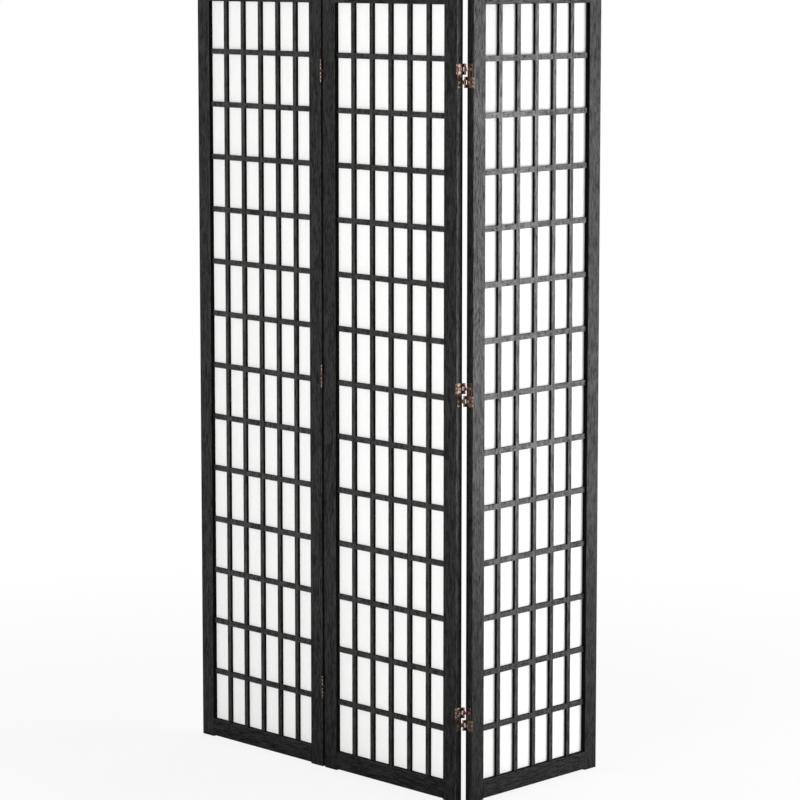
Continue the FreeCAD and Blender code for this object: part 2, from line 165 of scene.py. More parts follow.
class SCREEN_PG_stage(bpy.types.PropertyGroup):
    """Camera, lamps and floor."""
    eye: FloatVectorProperty(
        name="Eye", description="Where the camera stands",
        default=(5.797, -5.080, 1.833), subtype="TRANSLATION",
    )
    heading: angle("Heading", "Camera's turn from looking along +Y", 48.84)
    tilt: angle("Tilt", "Camera's look below the horizon", 7.43)
    lens: FloatProperty(
        name="Lens", description="Focal length in millimetres", default=152.2, subtype="DISTANCE_CAMERA",
    )
    ambient: share("Ambient", "Strength of the even light all round", 0.3)
    key_power: power("Key", "Lamp at the front right", 200)
    side_power: power("Side", "Lamp beside the folded panel", 90)
    back_power: power("Back", "Lamp behind on the left", 100)
    floor_size: length("Floor", "Side of the floor", 60000)
    floor_reach: length("Floor Reach", "How far out the floor fades to plain white", 2600)
    floor: colour("Floor Colour", "Pale floor", (0.86, 0.86, 0.86))
    floor_white: share("Floor White", "How white the floor is beside the screen", 0.86)


# ---------------------------------------------------------------- shader and node helpers
class Value:
    """A socket of a node tree that takes part in Python sums."""

    def __init__(self, tree, socket):
        self.tree = tree
        self.socket = socket

    def _sum(self, operation, *terms):
        node = self.tree.nodes.new("ShaderNodeMath")
        node.operation = operation
        for index, term in enumerate(terms):
            connect(self.tree, term, node.inputs[index])
        return Value(self.tree, node.outputs[0])

    def __add__(self, other):
        return self._sum("ADD", self, other)

    def __sub__(self, other):
        return self._sum("SUBTRACT", self, other)

    def __rsub__(self, other):
        return self._sum("SUBTRACT", other, self)

    def __mul__(self, other):
        return self._sum("MULTIPLY", self, other)

    __radd__ = __add__
    __rmul__ = __mul__

    def larger(self, other):
        """The larger of two values."""
        return self._sum("MAXIMUM", self, other)


def connect(tree, source, socket):
    """Link a socket to another, or set it to a plain value."""
    if isinstance(source, Value):
        tree.links.new(source.socket, socket)
    elif isinstance(source, (int, float)) or not hasattr(socket, "default_value"):
        socket.default_value = source
    else:
        socket.default_value = tuple(source) + (1.0,) * (len(socket.default_value) - len(source))


def find_socket(sockets, name):
    """A socket by its identifier, or else the first one in use with that name."""
    matches = [socket for socket in sockets if socket.identifier == name]
    matches += [socket for socket in sockets if socket.name == name and socket.enabled]
    return matches[0]


class Tree:
    """A node tree being built."""

    def __init__(self, tree):
        self.tree = tree

    def add(self, kind, settings=None, stops=None, **sockets):
        """Any node: its type, its settings, a ramp's stops, then the values or links of its sockets.

        In a socket's name, two underscores stand for a space.
        """
        node = self.tree.nodes.new(kind)
        for name, setting in (settings or {}).items():
            setattr(node, name, setting)
        for index, (position, level) in enumerate(stops or ()):
            elements = node.color_ramp.elements
            element = elements[index] if index < 2 else elements.new(position)
            element.position = position
            element.color = (level, level, level, 1)
        for name, source in sockets.items():
            connect(self.tree, source, find_socket(node.inputs, name.replace("__", " ")))
        return node

    def out(self, node, name=None):
        """A node's first output, or the one of that name."""
        socket = find_socket(node.outputs, name) if name else node.outputs[0]
        return Value(self.tree, socket)

    def noise(self, place, scale, detail=2.0, roughness=0.5, distortion=0.0):
        """Noise from 0 to 1, with so many features to the metre."""
        node = self.add(
            "ShaderNodeTexNoise", {"normalize": True}, Vector=place, Scale=scale, Detail=detail,
            Roughness=roughness, Distortion=distortion,
        )
        return self.out(node, "Fac")

    def ramp(self, value, *stops):
        """A value run through stops of (position, level)."""
        return self.out(self.add("ShaderNodeValToRGB", stops=stops, Fac=value), "Color")

    def blend(self, factor, first, second):
        """From the first colour to the second as the factor goes from 0 to 1."""
        node = self.add(
            "ShaderNodeMix", {"data_type": "RGBA"}, Factor_Float=factor, A_Color=first, B_Color=second,
        )
        return self.out(node, "Result_Color")

    def seen(self):
        """1 where the camera, a reflection or a clear surface looks, and 0 for plain lighting."""
        path = self.add("ShaderNodeLightPath")
        direct = self.out(path, "Is Camera Ray").larger(self.out(path, "Is Glossy Ray"))
        return direct.larger(self.out(path, "Is Transmission Ray"))

    def stretched(self, turn, squeeze):
        """Object coordinates turned about Z and then squeezed along their own axes."""
        place = self.out(self.add("ShaderNodeTexCoord"), "Object")
        turned = self.add("ShaderNodeMapping", Vector=place, Rotation=(0, 0, -turn))
        return self.out(self.add("ShaderNodeMapping", Vector=self.out(turned), Scale=squeeze))


def new_material(name):
    """An empty material and its tree."""
    material = bpy.data.materials.new(name)
    material.use_nodes = True
    material.node_tree.nodes.clear()
    return material, Tree(material.node_tree)


def finish_material(tree, shader):
    """Send a shader to the material's surface."""
    tree.add("ShaderNodeOutputMaterial", Surface=tree.out(shader))


# ---------------------------------------------------------------- finishes
# A pattern's squeeze along a panel's own X, Y and Z draws it out there.
EVEN = (1, 1, 1)
GRAIN = {"up": (1, 1, 0.13), "level": (0.13, 1, 1)}
CROSS = {"up": (0.3, 1, 1), "level": (1, 1, 0.3)}
LONG_FIBRE = (1, 1, 0.12)
SHORT_FIBRE = (1, 1, 0.2)

# features to the metre
STREAK_SCALE = 240
PORE_SCALE = 750
SAW_MARK_SCALE = 150
CLOUD_SCALE = 7
RUB_SCALE = 22
LONG_FIBRE_SCALE = 210
SHORT_FIBRE_SCALE = 520
MOTTLE_SCALE = 34
PATCH_SCALE = 90
SPECK_SCALE = 1300

# heights of the relief
GRAIN_RELIEF = 0.15 * MM
FIBRE_RELIEF = 0.08 * MM
SPECK_RELIEF = 0.05 * MM

# the wood's figure: its coarse marks and its fine pores
COARSE_SHARE = 0.62
PORE_SHARE = 0.38


def facing(tree, turn, direction):
    """How far a face looks along a direction of a panel turned about Z."""
    normal = tree.out(tree.add("ShaderNodeTexCoord"), "Normal")
    turned = Matrix.Rotation(turn, 3, "Z") @ Vector(direction)
    node = tree.add(
        "ShaderNodeVectorMath", {"operation": "DOT_PRODUCT"}, Vector=normal, Vector_001=turned,
    )
    return tree.out(node, "Value")


def sawn_faces(tree, turn, inward):
    """1 on the matt faces: a frame piece's inner face, or all but a strip's front and back."""
    if inward:
        return tree.ramp(facing(tree, turn, inward), (0.55, 0), (0.9, 1))
    outward = facing(tree, turn, (0, 1, 0))
    return tree.ramp(outward * outward, (0.3, 1), (0.8, 0))


def painted_arris_highlight(tree, turn, place):
    """1 on a bevel between a front or back face and a side, in uneven stretches, where a highlight is painted
    along the arrises.
    """
    outward = facing(tree, turn, (0, 1, 0))
    bevel = tree.ramp(outward * outward, (0.12, 0), (0.3, 1), (0.7, 1), (0.88, 0))
    return bevel * tree.ramp(tree.noise(place, RUB_SCALE, detail=3), (0.4, 0.15), (0.6, 1))


def edge_on(tree):
    """How far satin wood has lost its gloss where it is seen nearly edge on."""
    layer = tree.add("ShaderNodeLayerWeight", Blend=0.5)
    return tree.ramp(tree.out(layer, "Facing"), (0.5, 0), (0.8, 0.93))


def stained_wood(name, run, turn, inward, thin, worn, gloss, saw_marks=0.0):
    """Satin black stain over open grain that runs up or level in a panel turned about Z, with a highlight
    painted along the arrises.
    """
    finish = bpy.context.scene.screen_finish
    material, tree = new_material(name)
    along = tree.stretched(turn, GRAIN[run])
    across = tree.stretched(turn, CROSS[run])
    streaks = tree.noise(along, STREAK_SCALE, detail=4, roughness=0.7, distortion=0.3)
    pores = tree.noise(along, PORE_SCALE, detail=2, roughness=0.6)
    marks = tree.noise(across, SAW_MARK_SCALE, detail=3, roughness=0.6)
    clouds = tree.noise(tree.stretched(turn, EVEN), CLOUD_SCALE, detail=2)
    coarse = streaks * (COARSE_SHARE * (1 - saw_marks)) + marks * (COARSE_SHARE * saw_marks)
    figure = coarse + pores * PORE_SHARE
    dark_grain = tree.ramp(figure, (0.42, 1), (0.56, 0))
    # Painted highlight: the arris bevels are lightened in uneven stretches.
    rubbed = painted_arris_highlight(tree, turn, along)
    surface = tree.blend(rubbed, tree.blend(1 - dark_grain, thin, worn), finish.rubbed)
    relief = tree.add("ShaderNodeBump", Strength=0.35, Distance=GRAIN_RELIEF, Height=figure)
    satin = tree.add(
        "ShaderNodeBsdfPrincipled", Base__Color=surface, Normal=tree.out(relief),
        Roughness=clouds * 0.2 + (finish.stain_roughness - 0.1), Specular__IOR__Level=gloss,
    )
    matt = tree.add(
        "ShaderNodeBsdfPrincipled", Base__Color=thin,
        Roughness=0.8, Specular__IOR__Level=finish.pore_gloss,
    )
    open_grain = dark_grain * 0.66 + clouds * 0.34
    dullness = open_grain.larger(sawn_faces(tree, turn, inward)).larger(edge_on(tree))
    finish_material(tree, tree.add(
        "ShaderNodeMixShader", Fac=dullness, Shader=tree.out(satin), Shader_001=tree.out(matt),
    ))
    return material


def fibrous_paper(name, turn):
    """White paper with long, soft fibres that mostly hang upright."""
    finish = bpy.context.scene.screen_finish
    material, tree = new_material(name)
    long_place = tree.stretched(turn, LONG_FIBRE)
    short_place = tree.stretched(turn, SHORT_FIBRE)
    drift = tree.noise(long_place, LONG_FIBRE_SCALE, detail=4, roughness=0.55, distortion=1.4)
    strands = tree.noise(short_place, SHORT_FIBRE_SCALE, detail=2, roughness=0.5, distortion=2.2)
    mottle = tree.noise(tree.stretched(turn, EVEN), MOTTLE_SCALE, detail=3)
    long_fibres = tree.ramp(drift, (0.46, 0), (0.5, 1), (0.54, 0))
    short_fibres = tree.ramp(strands, (0.47, 0), (0.5, 1), (0.53, 0))
    fibres = long_fibres * 0.26 + short_fibres * 0.16 + mottle * 0.22
    relief = tree.add("ShaderNodeBump", Strength=0.25, Distance=FIBRE_RELIEF, Height=fibres)
    shader = tree.add(
        "ShaderNodeBsdfPrincipled", Base__Color=tree.blend(fibres, finish.paper, finish.fibre),
        Roughness=0.88 - fibres * 0.12, Normal=tree.out(relief), Specular__IOR__Level=0.18,
    )
    finish_material(tree, shader)
    return material


def worn_metal(name, bright, dark, roughness):
    """Plated metal, rubbed bright over most of its face and dark in patches."""
    material, tree = new_material(name)
    place = tree.stretched(0, EVEN)
    patches = tree.noise(place, PATCH_SCALE, detail=4, roughness=0.6, distortion=0.4)
    specks = tree.noise(place, SPECK_SCALE, detail=2)
    # The copper's own wear: rubbed bright in random patches.
    rubbed = tree.ramp(patches, (0.3, 0), (0.52, 1)) * 0.75 + specks * 0.3
    relief = tree.add("ShaderNodeBump", Strength=0.15, Distance=SPECK_RELIEF, Height=specks)
    shader = tree.add(
        "ShaderNodeBsdfPrincipled", Base__Color=tree.blend(rubbed, dark, bright), Metallic=1.0,
        Roughness=roughness + 0.16 - rubbed * 0.2, Normal=tree.out(relief),
    )
    finish_material(tree, shader)
    return material


def dress(node, material):
    """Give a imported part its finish."""
    obj = frame["nodes"][node]
    if not obj.material_slots:
        obj.data.materials.append(material)
    for slot in obj.material_slots:
        slot.material = material


# the sides of a frame: how the grain runs, which way its inner face looks and what it is made of
SIDES = {
    "left": ("up", (1, 0, 0), "stile"),
    "right": ("up", (-1, 0, 0), "stile"),
    "top": ("level", (0, 0, -1), "rail"),
    "bottom": ("level", (0, 0, 1), "rail"),
}

# the strips of a lattice: how the grain runs, and how much of its figure is saw marks
STRIPS = {
    "uprights": ("up", 0.0),
    "crossbars": ("level", 0.7),
}


def panel_turn(panel):
    """How far a panel stands turned about Z at rest."""
    return FOLD if panel == "panel_3" else 0.0


# ---------------------------------------------------------------- hinge meshes
# Hinge frame: X across the gap with 0 at its middle, Y = 0 on the front faces, Z = 0 at mid height.
HOLE_POINTS = 40
HEAD_POINTS = 36
ROLL_STEPS = 30
TURNING_STEPS = 32
MERGE_DISTANCE = 0.002 * MM
SHARP_CORNER = math.radians(50)
SHARP_EDGE = math.radians(35)

# a screw: the play round its head and the sizes of the head and its recess
HEAD_PLAY = 0.06 * MM
HEAD_RISE = 0.12 * MM
RECESS_DEPTH = 0.5 * MM
RECESS_ARM = 0.5 * MM
RECESS_REACH = 1.6 * MM
FOOT_SHARE = 0.9


class HingePlan:
    """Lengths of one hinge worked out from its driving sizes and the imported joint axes."""

    def __init__(self, hinge):
        self.thickness = (BACK_AXIS_12 - FRONT_AXIS_12).y - 2 * hinge.pin_standoff
        self.front = -hinge.pin_standoff
        self.back = self.thickness + hinge.pin_standoff
        self.half_height = (hinge.height - hinge.half_gap) / 2
        self.half_centre = (hinge.height + hinge.half_gap) / 4
        self.end_knuckle = (self.half_height - hinge.middle_knuckle) / 2 - hinge.knuckle_clearance
        self.roll_radius = (hinge.barrel - hinge.plate) / 2
        self.leaf_middle = -(hinge.panel_gap - hinge.plate) / 2
        self.link_middle = -self.roll_radius
        self.front_line = FRONT_AXIS_12.y + hinge.pin_standoff


def extruded_outline(outline, holes, low_x, high_x, softening):
    """A flat stamping in the Y-Z plane with round holes, as a closed mesh with eased edges."""
    flat = bpy.data.curves.new("stamping", "CURVE")
    flat.dimensions = "2D"
    flat.fill_mode = "BOTH"
    flat.bevel_depth = softening
    flat.offset = -softening
    flat.bevel_resolution = 1
    flat.extrude = (high_x - low_x) / 2 - softening
    rings = [outline] + [circle_points(centre, radius, HOLE_POINTS) for centre, radius in holes]
    for ring in rings:
        spline = flat.splines.new("POLY")
        spline.points.add(len(ring) - 1)
        for point, (y, z) in zip(spline.points, ring):
            point.co = (y, z, 0, 1)
        spline.use_cyclic_u = True
    carrier = bpy.data.objects.new("stamping", flat)
    mesh = bpy.data.meshes.new_from_object(carrier)
    bpy.data.objects.remove(carrier)
    bpy.data.curves.remove(flat)
    upright = Matrix(((0, 0, 1, (low_x + high_x) / 2), (1, 0, 0, 0), (0, 1, 0, 0), (0, 0, 0, 1)))
    mesh.transform(upright)
    form = bmesh.new()
    form.from_mesh(mesh)
    bpy.data.meshes.remove(mesh)
    bmesh.ops.remove_doubles(form, verts=form.verts, dist=MERGE_DISTANCE)
    bmesh.ops.recalc_face_normals(form, faces=form.faces)
    return form


def circle_points(centre, radius, count):
    """Points of a circle round (across, up)."""
    turns = (2 * math.pi * index / count for index in range(count))
    return [polar_point(centre, radius, turn) for turn in turns]


def polar_point(centre, radius, turn):
    """A point round a centre."""
    return centre[0] + radius * math.cos(turn), centre[1] + radius * math.sin(turn)


def rolled_strip(path, thickness, low, high, softening):
    """A strip of plate bent along a path of (x, y) points, from one height to another."""
    points = [Vector(point) for point in path]
    form = bmesh.new()
    rings = []
    for index, point in enumerate(points):
        before = points[max(index - 1, 0)]
        after = points[min(index + 1, len(points) - 1)]
        aside = (after - before).normalized().orthogonal() * thickness / 2
        left, right = point + aside, point - aside
        corners = ((left, low), (right, low), (right, high), (left, high))
        rings.append([form.verts.new((*corner, height)) for corner, height in corners])
    for ring, following in zip(rings, rings[1:]):
        for side in range(4):
            after = (side + 1) % 4
            form.faces.new((ring[side], ring[after], following[after], following[side]))
    form.faces.new(rings[0])
    form.faces.new(reversed(rings[-1]))
    bmesh.ops.recalc_face_normals(form, faces=form.faces)
    sharp = [edge for edge in form.edges if edge.calc_face_angle() > SHARP_CORNER]
    bmesh.ops.bevel(form, geom=sharp, offset=softening, segments=2, profile=0.5, affect="EDGES")
    return form


def roll_points(centre, start, sweep, radius):
    """Points of the arc by which a plate is rolled round its pin."""
    turns = (start + sweep * index / ROLL_STEPS for index in range(ROLL_STEPS + 1))
    return [polar_point(centre, radius, turn) for turn in turns]


def turned_form(profile):
    """A form turned about Z from (radius, height) points that begin and end on the axis."""
    form = bmesh.new()
    verts = [form.verts.new((radius, 0, height)) for radius, height in profile]
    edges = [form.edges.new(pair) for pair in zip(verts, verts[1:])]
    bmesh.ops.spin(
        form, geom=verts + edges, cent=(0, 0, 0), axis=(0, 0, 1),
        angle=2 * math.pi, steps=TURNING_STEPS, use_merge=True,
    )
    bmesh.ops.remove_doubles(form, verts=form.verts, dist=MERGE_DISTANCE)
    bmesh.ops.recalc_face_normals(form, faces=form.faces)
    return form


def gather_forms(forms):
    """Several bmeshes in one mesh."""
    whole = bmesh.new()
    for form in forms:
        part = bpy.data.meshes.new("part")
        form.to_mesh(part)
        form.free()
        whole.from_mesh(part)
        bpy.data.meshes.remove(part)
    mesh = bpy.data.meshes.new("hinge part")
    whole.to_mesh(mesh)
    whole.free()
    return mesh


def mirrored(path, middle):
    """A path seen from the other face of the frame."""
    return [(x, 2 * middle - y) for x, y in path]


def screw_spots(hinge, plan):
    """(depth, height) of a left leaf's screws."""
    middle = plan.thickness / 2
    return (
        (middle + hinge.screw_stagger, plan.half_centre),
        (middle - hinge.screw_stagger, -plan.half_centre),
    )


def leaf_mesh(hinge, plan):
    """Left leaf: a plate with two screw holes, rolled to a knuckle in front above and behind below."""
    low_y, high_y = hinge.leaf_margin, plan.thickness - hinge.leaf_margin
    low_z, high_z = -hinge.height / 2, hinge.height / 2
    outline = ((low_y, low_z), (high_y, low_z), (high_y, high_z), (low_y, high_z))
    holes = [(spot, hinge.screw_head / 2 + HEAD_PLAY) for spot in screw_spots(hinge, plan)]
    face = plan.leaf_middle + hinge.plate / 2
    forms = [extruded_outline(outline, holes, face - hinge.plate, face, hinge.softening)]

    reach = Vector((-plan.leaf_middle, plan.front - hinge.leaf_bend))
    slope = math.atan2(reach.x, -reach.y) - math.asin(plan.roll_radius / reach.length)
    front_path = [(plan.leaf_middle, hinge.leaf_bend)]
    front_path += roll_points((0, plan.front), math.pi + slope, hinge.curl, plan.roll_radius)
    back_path = mirrored(front_path, plan.thickness / 2)
    for path, centre in ((front_path, plan.half_centre), (back_path, -plan.half_centre)):
        low, high = centre - hinge.middle_knuckle / 2, centre + hinge.middle_knuckle / 2
        forms.append(rolled_strip(path, hinge.plate, low, high, hinge.softening))
    return gather_forms(forms)


def link_mesh(hinge, plan):
    """Upper link: a notched plate with a driver's hole, rolled round the pins at its four corners."""
    low, high = plan.half_centre - plan.half_height / 2, plan.half_centre + plan.half_height / 2
    notch_low, notch_high = low + plan.end_knuckle, high - plan.end_knuckle
    front_notch = hinge.leaf_bend + hinge.notch_clearance
    back_notch = plan.back - hinge.barrel / 2 - hinge.notch_clearance
    outline = (
        (plan.front, low), (plan.back, low), (plan.back, notch_low), (back_notch, notch_low),
        (back_notch, notch_high), (plan.back, notch_high), (plan.back, high), (plan.front, high),
        (plan.front, notch_high), (front_notch, notch_high), (front_notch, notch_low),
        (plan.front, notch_low),
    )
    hole = (plan.thickness / 2 + hinge.screw_stagger, plan.half_centre), hinge.driver_hole / 2
    face = plan.link_middle + hinge.plate / 2
    forms = [extruded_outline(outline, [hole], face - hinge.plate, face, hinge.softening)]

    front_path = roll_points((0, plan.front), math.pi, hinge.link_curl, plan.roll_radius)
    for path in (front_path, mirrored(front_path, plan.thickness / 2)):
        for foot in (low, high - plan.end_knuckle):
            forms.append(rolled_strip(path, hinge.plate, foot, foot + plan.end_knuckle, hinge.softening))
    return gather_forms(forms)


def pin_mesh(hinge, plan):
    """A left panel's two pins with eased ends: in front above and behind below."""
    radius, ease = hinge.pin / 2, hinge.pin / 6
    half = plan.half_height / 2
    quarter = [math.radians(turn) for turn in (0, 30, 60, 90)]
    top = [polar_point((radius - ease, half - ease), ease, turn) for turn in quarter]
    profile = [(0, -half)] + [(r, -z) for r, z in reversed(top)] + top + [(0, half)]
    forms = []
    for y, z in ((plan.front, plan.half_centre), (plan.back, -plan.half_centre)):
        form = turned_form(profile)
        form.transform(Matrix.Translation((0, y, z)))
        forms.append(form)
    return gather_forms(forms)


def screw_mesh(hinge, plan):
    """A left leaf's two screw heads, a little proud of the plate, each with a crossed recess."""
    arm, reach = RECESS_ARM, RECESS_REACH
    cross = (
        (arm, reach), (-arm, reach), (-arm, arm), (-reach, arm), (-reach, -arm), (-arm, -arm),
        (-arm, -reach), (arm, -reach), (arm, -arm), (reach, -arm), (reach, arm), (arm, arm),
    )
    radius = hinge.screw_head / 2
    foot = radius * FOOT_SHARE
    face = plan.leaf_middle + hinge.plate / 2
    floor = face - RECESS_DEPTH
    forms = []
    for y, z in screw_spots(hinge, plan):
        rim = circle_points((y, z), radius, HEAD_POINTS)
        recess = [(y + across, z + up) for across, up in cross]
        head = slotted_disc(rim, recess, floor, face + HEAD_RISE)
        base = turned_form([(0, -RECESS_DEPTH), (foot, -RECESS_DEPTH), (foot, 0), (0, 0)])
        base.transform(Matrix.Translation((floor, y, z)) @ Matrix.Rotation(math.pi / 2, 4, "Y"))
        forms += [head, base]
    return gather_forms(forms)


def slotted_disc(rim, cross, low_x, high_x):
    """A disc with a cross-shaped hole, as a closed mesh."""
    form = bmesh.new()
    for x in (low_x, high_x):
        loops = []
        for ring in (rim, cross):
            verts = [form.verts.new((x, y, z)) for y, z in ring]
            loops += [form.edges.new((a, b)) for a, b in zip(verts, verts[1:] + verts[:1])]
        bmesh.ops.triangle_fill(form, use_beauty=True, edges=loops)
    form.verts.ensure_lookup_table()
    start = 0
    half = len(rim) + len(cross)
    for ring in (rim, cross):
        count = len(ring)
        for index in range(count):
            a = start + index
            b = start + (index + 1) % count
            form.faces.new([form.verts[i] for i in (a, b, b + half, a + half)])
        start += count
    bmesh.ops.recalc_face_normals(form, faces=form.faces)
    return form


# ---------------------------------------------------------------- three hinges along a line
LEVELS = ("Low Level", "Middle Level", "High Level")


def hinge_line_tree():
    """Geometry nodes that stand one hinge part at three levels, then place and turn the line."""
    group = bpy.data.node_groups.new("Hinge Line", "GeometryNodeTree")
    interface = group.interface
    interface.new_socket("Geometry", in_out="OUTPUT", socket_type="NodeSocketGeometry")
    interface.new_socket("Geometry", in_out="INPUT", socket_type="NodeSocketGeometry")
    for name in (*LEVELS, "Turn"):
        interface.new_socket(name, in_out="INPUT", socket_type="NodeSocketFloat")
    interface.new_socket("Place", in_out="INPUT", socket_type="NodeSocketVector")
    interface.new_socket("Finish", in_out="INPUT", socket_type="NodeSocketMaterial")

    tree = Tree(group)
    given = tree.add("NodeGroupInput")
    index = tree.out(tree.add("GeometryNodeInputIndex"))
    levels = tree.add("GeometryNodeIndexSwitch", {"data_type": "FLOAT"}, Index=index)
    levels.index_switch_items.new()
    for item, name in enumerate(LEVELS):
        connect(group, tree.out(given, name), levels.inputs[item + 1])
    height = tree.add("ShaderNodeCombineXYZ", Z=tree.out(levels))
    spots = tree.add("GeometryNodePoints", Count=len(LEVELS), Position=tree.out(height))
    stood = tree.add(
        "GeometryNodeInstanceOnPoints", Points=tree.out(spots), Instance=tree.out(given, "Geometry"),
    )
    turn = tree.add("ShaderNodeCombineXYZ", Z=tree.out(given, "Turn"))
    placed = tree.add(
        "GeometryNodeTransform", Geometry=tree.out(stood), Translation=tree.out(given, "Place"),
        Rotation=tree.out(turn),
    )
    real = tree.add("GeometryNodeRealizeInstances", Geometry=tree.out(placed))
    finished = tree.add(
        "GeometryNodeSetMaterial", Geometry=tree.out(real), Material=tree.out(given, "Finish"),
    )
    tree.add("NodeGroupOutput", Geometry=tree.out(finished))
    return group


def stand_hinges(name, part, turned_over, place, turn, material):
    """A plain mesh of three copies of a hinge part along one hinge line."""
    mesh = part.copy()
    if turned_over:
        mesh.transform(Matrix.Rotation(math.pi, 4, "Y"))
    carrier = bpy.data.objects.new(f"{name}_carrier", mesh)
    bpy.context.scene.collection.objects.link(carrier)
    group = bpy.data.node_groups.get("Hinge Line") or hinge_line_tree()
    inputs = [item for item in group.interface.items_tree if item.in_out == "INPUT"]
    sockets = {item.name: item.identifier for item in inputs}
    hinge = bpy.context.scene.screen_hinge
    modifier = carrier.modifiers.new("line", "NODES")
    modifier.node_group = group
    modifier[sockets["Low Level"]] = hinge.low_level
    modifier[sockets["Middle Level"]] = hinge.middle_level
    modifier[sockets["High Level"]] = hinge.high_level
    modifier[sockets["Place"]] = place
    modifier[sockets["Turn"]] = turn
    modifier[sockets["Finish"]] = material
    graph = bpy.context.evaluated_depsgraph_get()
    finished = bpy.data.meshes.new_from_object(carrier.evaluated_get(graph))
    bpy.data.objects.remove(carrier)
    bpy.data.meshes.remove(mesh)

    for face in finished.polygons:
        face.use_smooth = True
    finished.set_sharp_from_angle(angle=SHARP_EDGE)
    piece = bpy.data.objects.new(name, finished)
    bpy.context.scene.collection.objects.link(piece)
    return piece


def line_place(line, side, plan):
    """Where the hinges of a line stand on the panel to its left or right: (place, turn)."""
    if line == "12":
        return (BACK_AXIS_12.x, plan.front_line, 0), 0.0
    place = Vector((BACK_AXIS_23.x, plan.front_line, 0))
    if side == "left":
        return tuple(place), 0.0
    axis = Vector((BACK_AXIS_23.x, BACK_AXIS_23.y, 0))
    return tuple(axis + Matrix.Rotation(FOLD, 3, "Z") @ (place - axis)), FOLD


def make_group(kind, part, material, replaced):
    """The left and right pieces of both hinge lines, each on the body of the node that it stands for."""
    hinge = bpy.context.scene.screen_hinge
    plan = HingePlan(hinge)
    for line in ("12", "23"):
        for side, word in (("left", replaced[0]), ("right", replaced[1])):
            place, turn = line_place(line, side, plan)
            node = f"hinge_{line}_{word}"
            piece = stand_hinges(f"{kind}_{line}_{side}", part, side == "right", place, turn, material)
            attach(piece, frame["nodes"][node]["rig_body"])
            if kind != "screws":
                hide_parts(node)


# ---------------------------------------------------------------- operators
class SCREEN_OT_stain_wood(bpy.types.Operator):
    """Stain the frames, lattices and beads with the grain along each piece"""
    bl_idname = "screen.stain_wood"
    bl_label = "Stain Wood"

    def execute(self, context):
        finish = context.scene.screen_finish
        for panel in PANELS:
            turn = panel_turn(panel)
            for side, (run, inward, piece) in SIDES.items():
                wood = stained_wood(
                    f"{panel} {side} frame", run, turn, inward, finish.stain, finish.stain_worn,
                    finish.stain_gloss,
                )
                dress(f"{panel}_{side}_{piece}", wood)
                dress(f"{panel}_{side}_bead", wood)
            for strips, (run, saw_marks) in STRIPS.items():
                lattice = stained_wood(
                    f"{panel} {strips}", run, turn, None, finish.lattice_stain, finish.lattice_worn,
                    finish.lattice_gloss, saw_marks,
                )
                dress(f"{panel}_lattice_{strips}", lattice)
        return {"FINISHED"}


class SCREEN_OT_paper_panels(bpy.types.Operator):
    """Give the paper behind each lattice its fibres"""
    bl_idname = "screen.paper_panels"
    bl_label = "Paper Panels"

    def execute(self, context):
        for panel in PANELS:
            dress(f"{panel}_paper", fibrous_paper(f"{panel} paper", panel_turn(panel)))
        return {"FINISHED"}


class SCREEN_OT_hinge_leaves(bpy.types.Operator):
    """Make the leaves that are screwed to the stiles"""
    bl_idname = "screen.hinge_leaves"
    bl_label = "Hinge Leaves"

    def execute(self, context):
        finish, hinge = context.scene.screen_finish, context.scene.screen_hinge
        copper = worn_metal("leaf copper", finish.copper, finish.patina, finish.leaf_roughness)
        leaf = leaf_mesh(hinge, HingePlan(hinge))
        make_group("leaves", leaf, copper, ("left_leaves", "right_leaves"))
        return {"FINISHED"}


class SCREEN_OT_hinge_links(bpy.types.Operator):
    """Make the crossed links between the pins"""
    bl_idname = "screen.hinge_links"
    bl_label = "Hinge Links"

    def execute(self, context):
        finish, hinge = context.scene.screen_finish, context.scene.screen_hinge
        copper = worn_metal("link copper", finish.copper, finish.patina, finish.link_roughness)
        link = link_mesh(hinge, HingePlan(hinge))
        make_group("links", link, copper, ("upper_links", "lower_links"))
        return {"FINISHED"}


class SCREEN_OT_hinge_pins(bpy.types.Operator):
    """Make the pins on which the links turn"""
    bl_idname = "screen.hinge_pins"
    bl_label = "Hinge Pins"

    def execute(self, context):
        finish, hinge = context.scene.screen_finish, context.scene.screen_hinge
        steel = worn_metal("pin steel", finish.pin_steel, finish.patina, finish.pin_roughness)
        pins = pin_mesh(hinge, HingePlan(hinge))
        make_group("pins", pins, steel, ("left_pins", "right_pins"))
        return {"FINISHED"}


class SCREEN_OT_hinge_screws(bpy.types.Operator):
    """Make the screw heads that hold the leaves"""
    bl_idname = "screen.hinge_screws"
    bl_label = "Hinge Screws"

    def execute(self, context):
        finish, hinge = context.scene.screen_finish, context.scene.screen_hinge
        steel = worn_metal("screw steel", finish.screw_steel, finish.copper, finish.screw_roughness)
        screws = screw_mesh(hinge, HingePlan(hinge))
        make_group("screws", screws, steel, ("left_leaves", "right_leaves"))
        return {"FINISHED"}


# each lamp: where it hangs, where it points, its size and the setting that holds its power
LAMPS = {
    "key lamp": ((1.5, -5.2, 1.6), (-0.2, -0.1, 0.85), (2.4, 2.4), "key_power"),
    "side lamp": ((2.5, 1.95, 1.0), (0.43, 0, 0.75), (2.0, 2.0), "side_power"),
    "back lamp": ((-2.4, 4.0, 1.6), (0, 0, 0.85), (2.4, 2.4), "back_power"),
}
SENSOR_WIDTH = 36
FARTHEST_SIGHT = 100


class SCREEN_OT_set_stage(bpy.types.Operator):
    """Lay the pale floor, hang the lamps and stand the camera"""
    bl_idname = "screen.set_stage"
    bl_label = "Set Stage"

    def execute(self, context):
        stage = context.scene.screen_stage
        lay_floor(stage)
        light_world(context.scene, stage)
        for name, (spot, aim, size, setting) in LAMPS.items():
            hang_lamp(name, spot, aim, size, getattr(stage, setting))
        stand_camera(context.scene, stage)
        context.scene.view_settings.view_transform = "Standard"
        return {"FINISHED"}


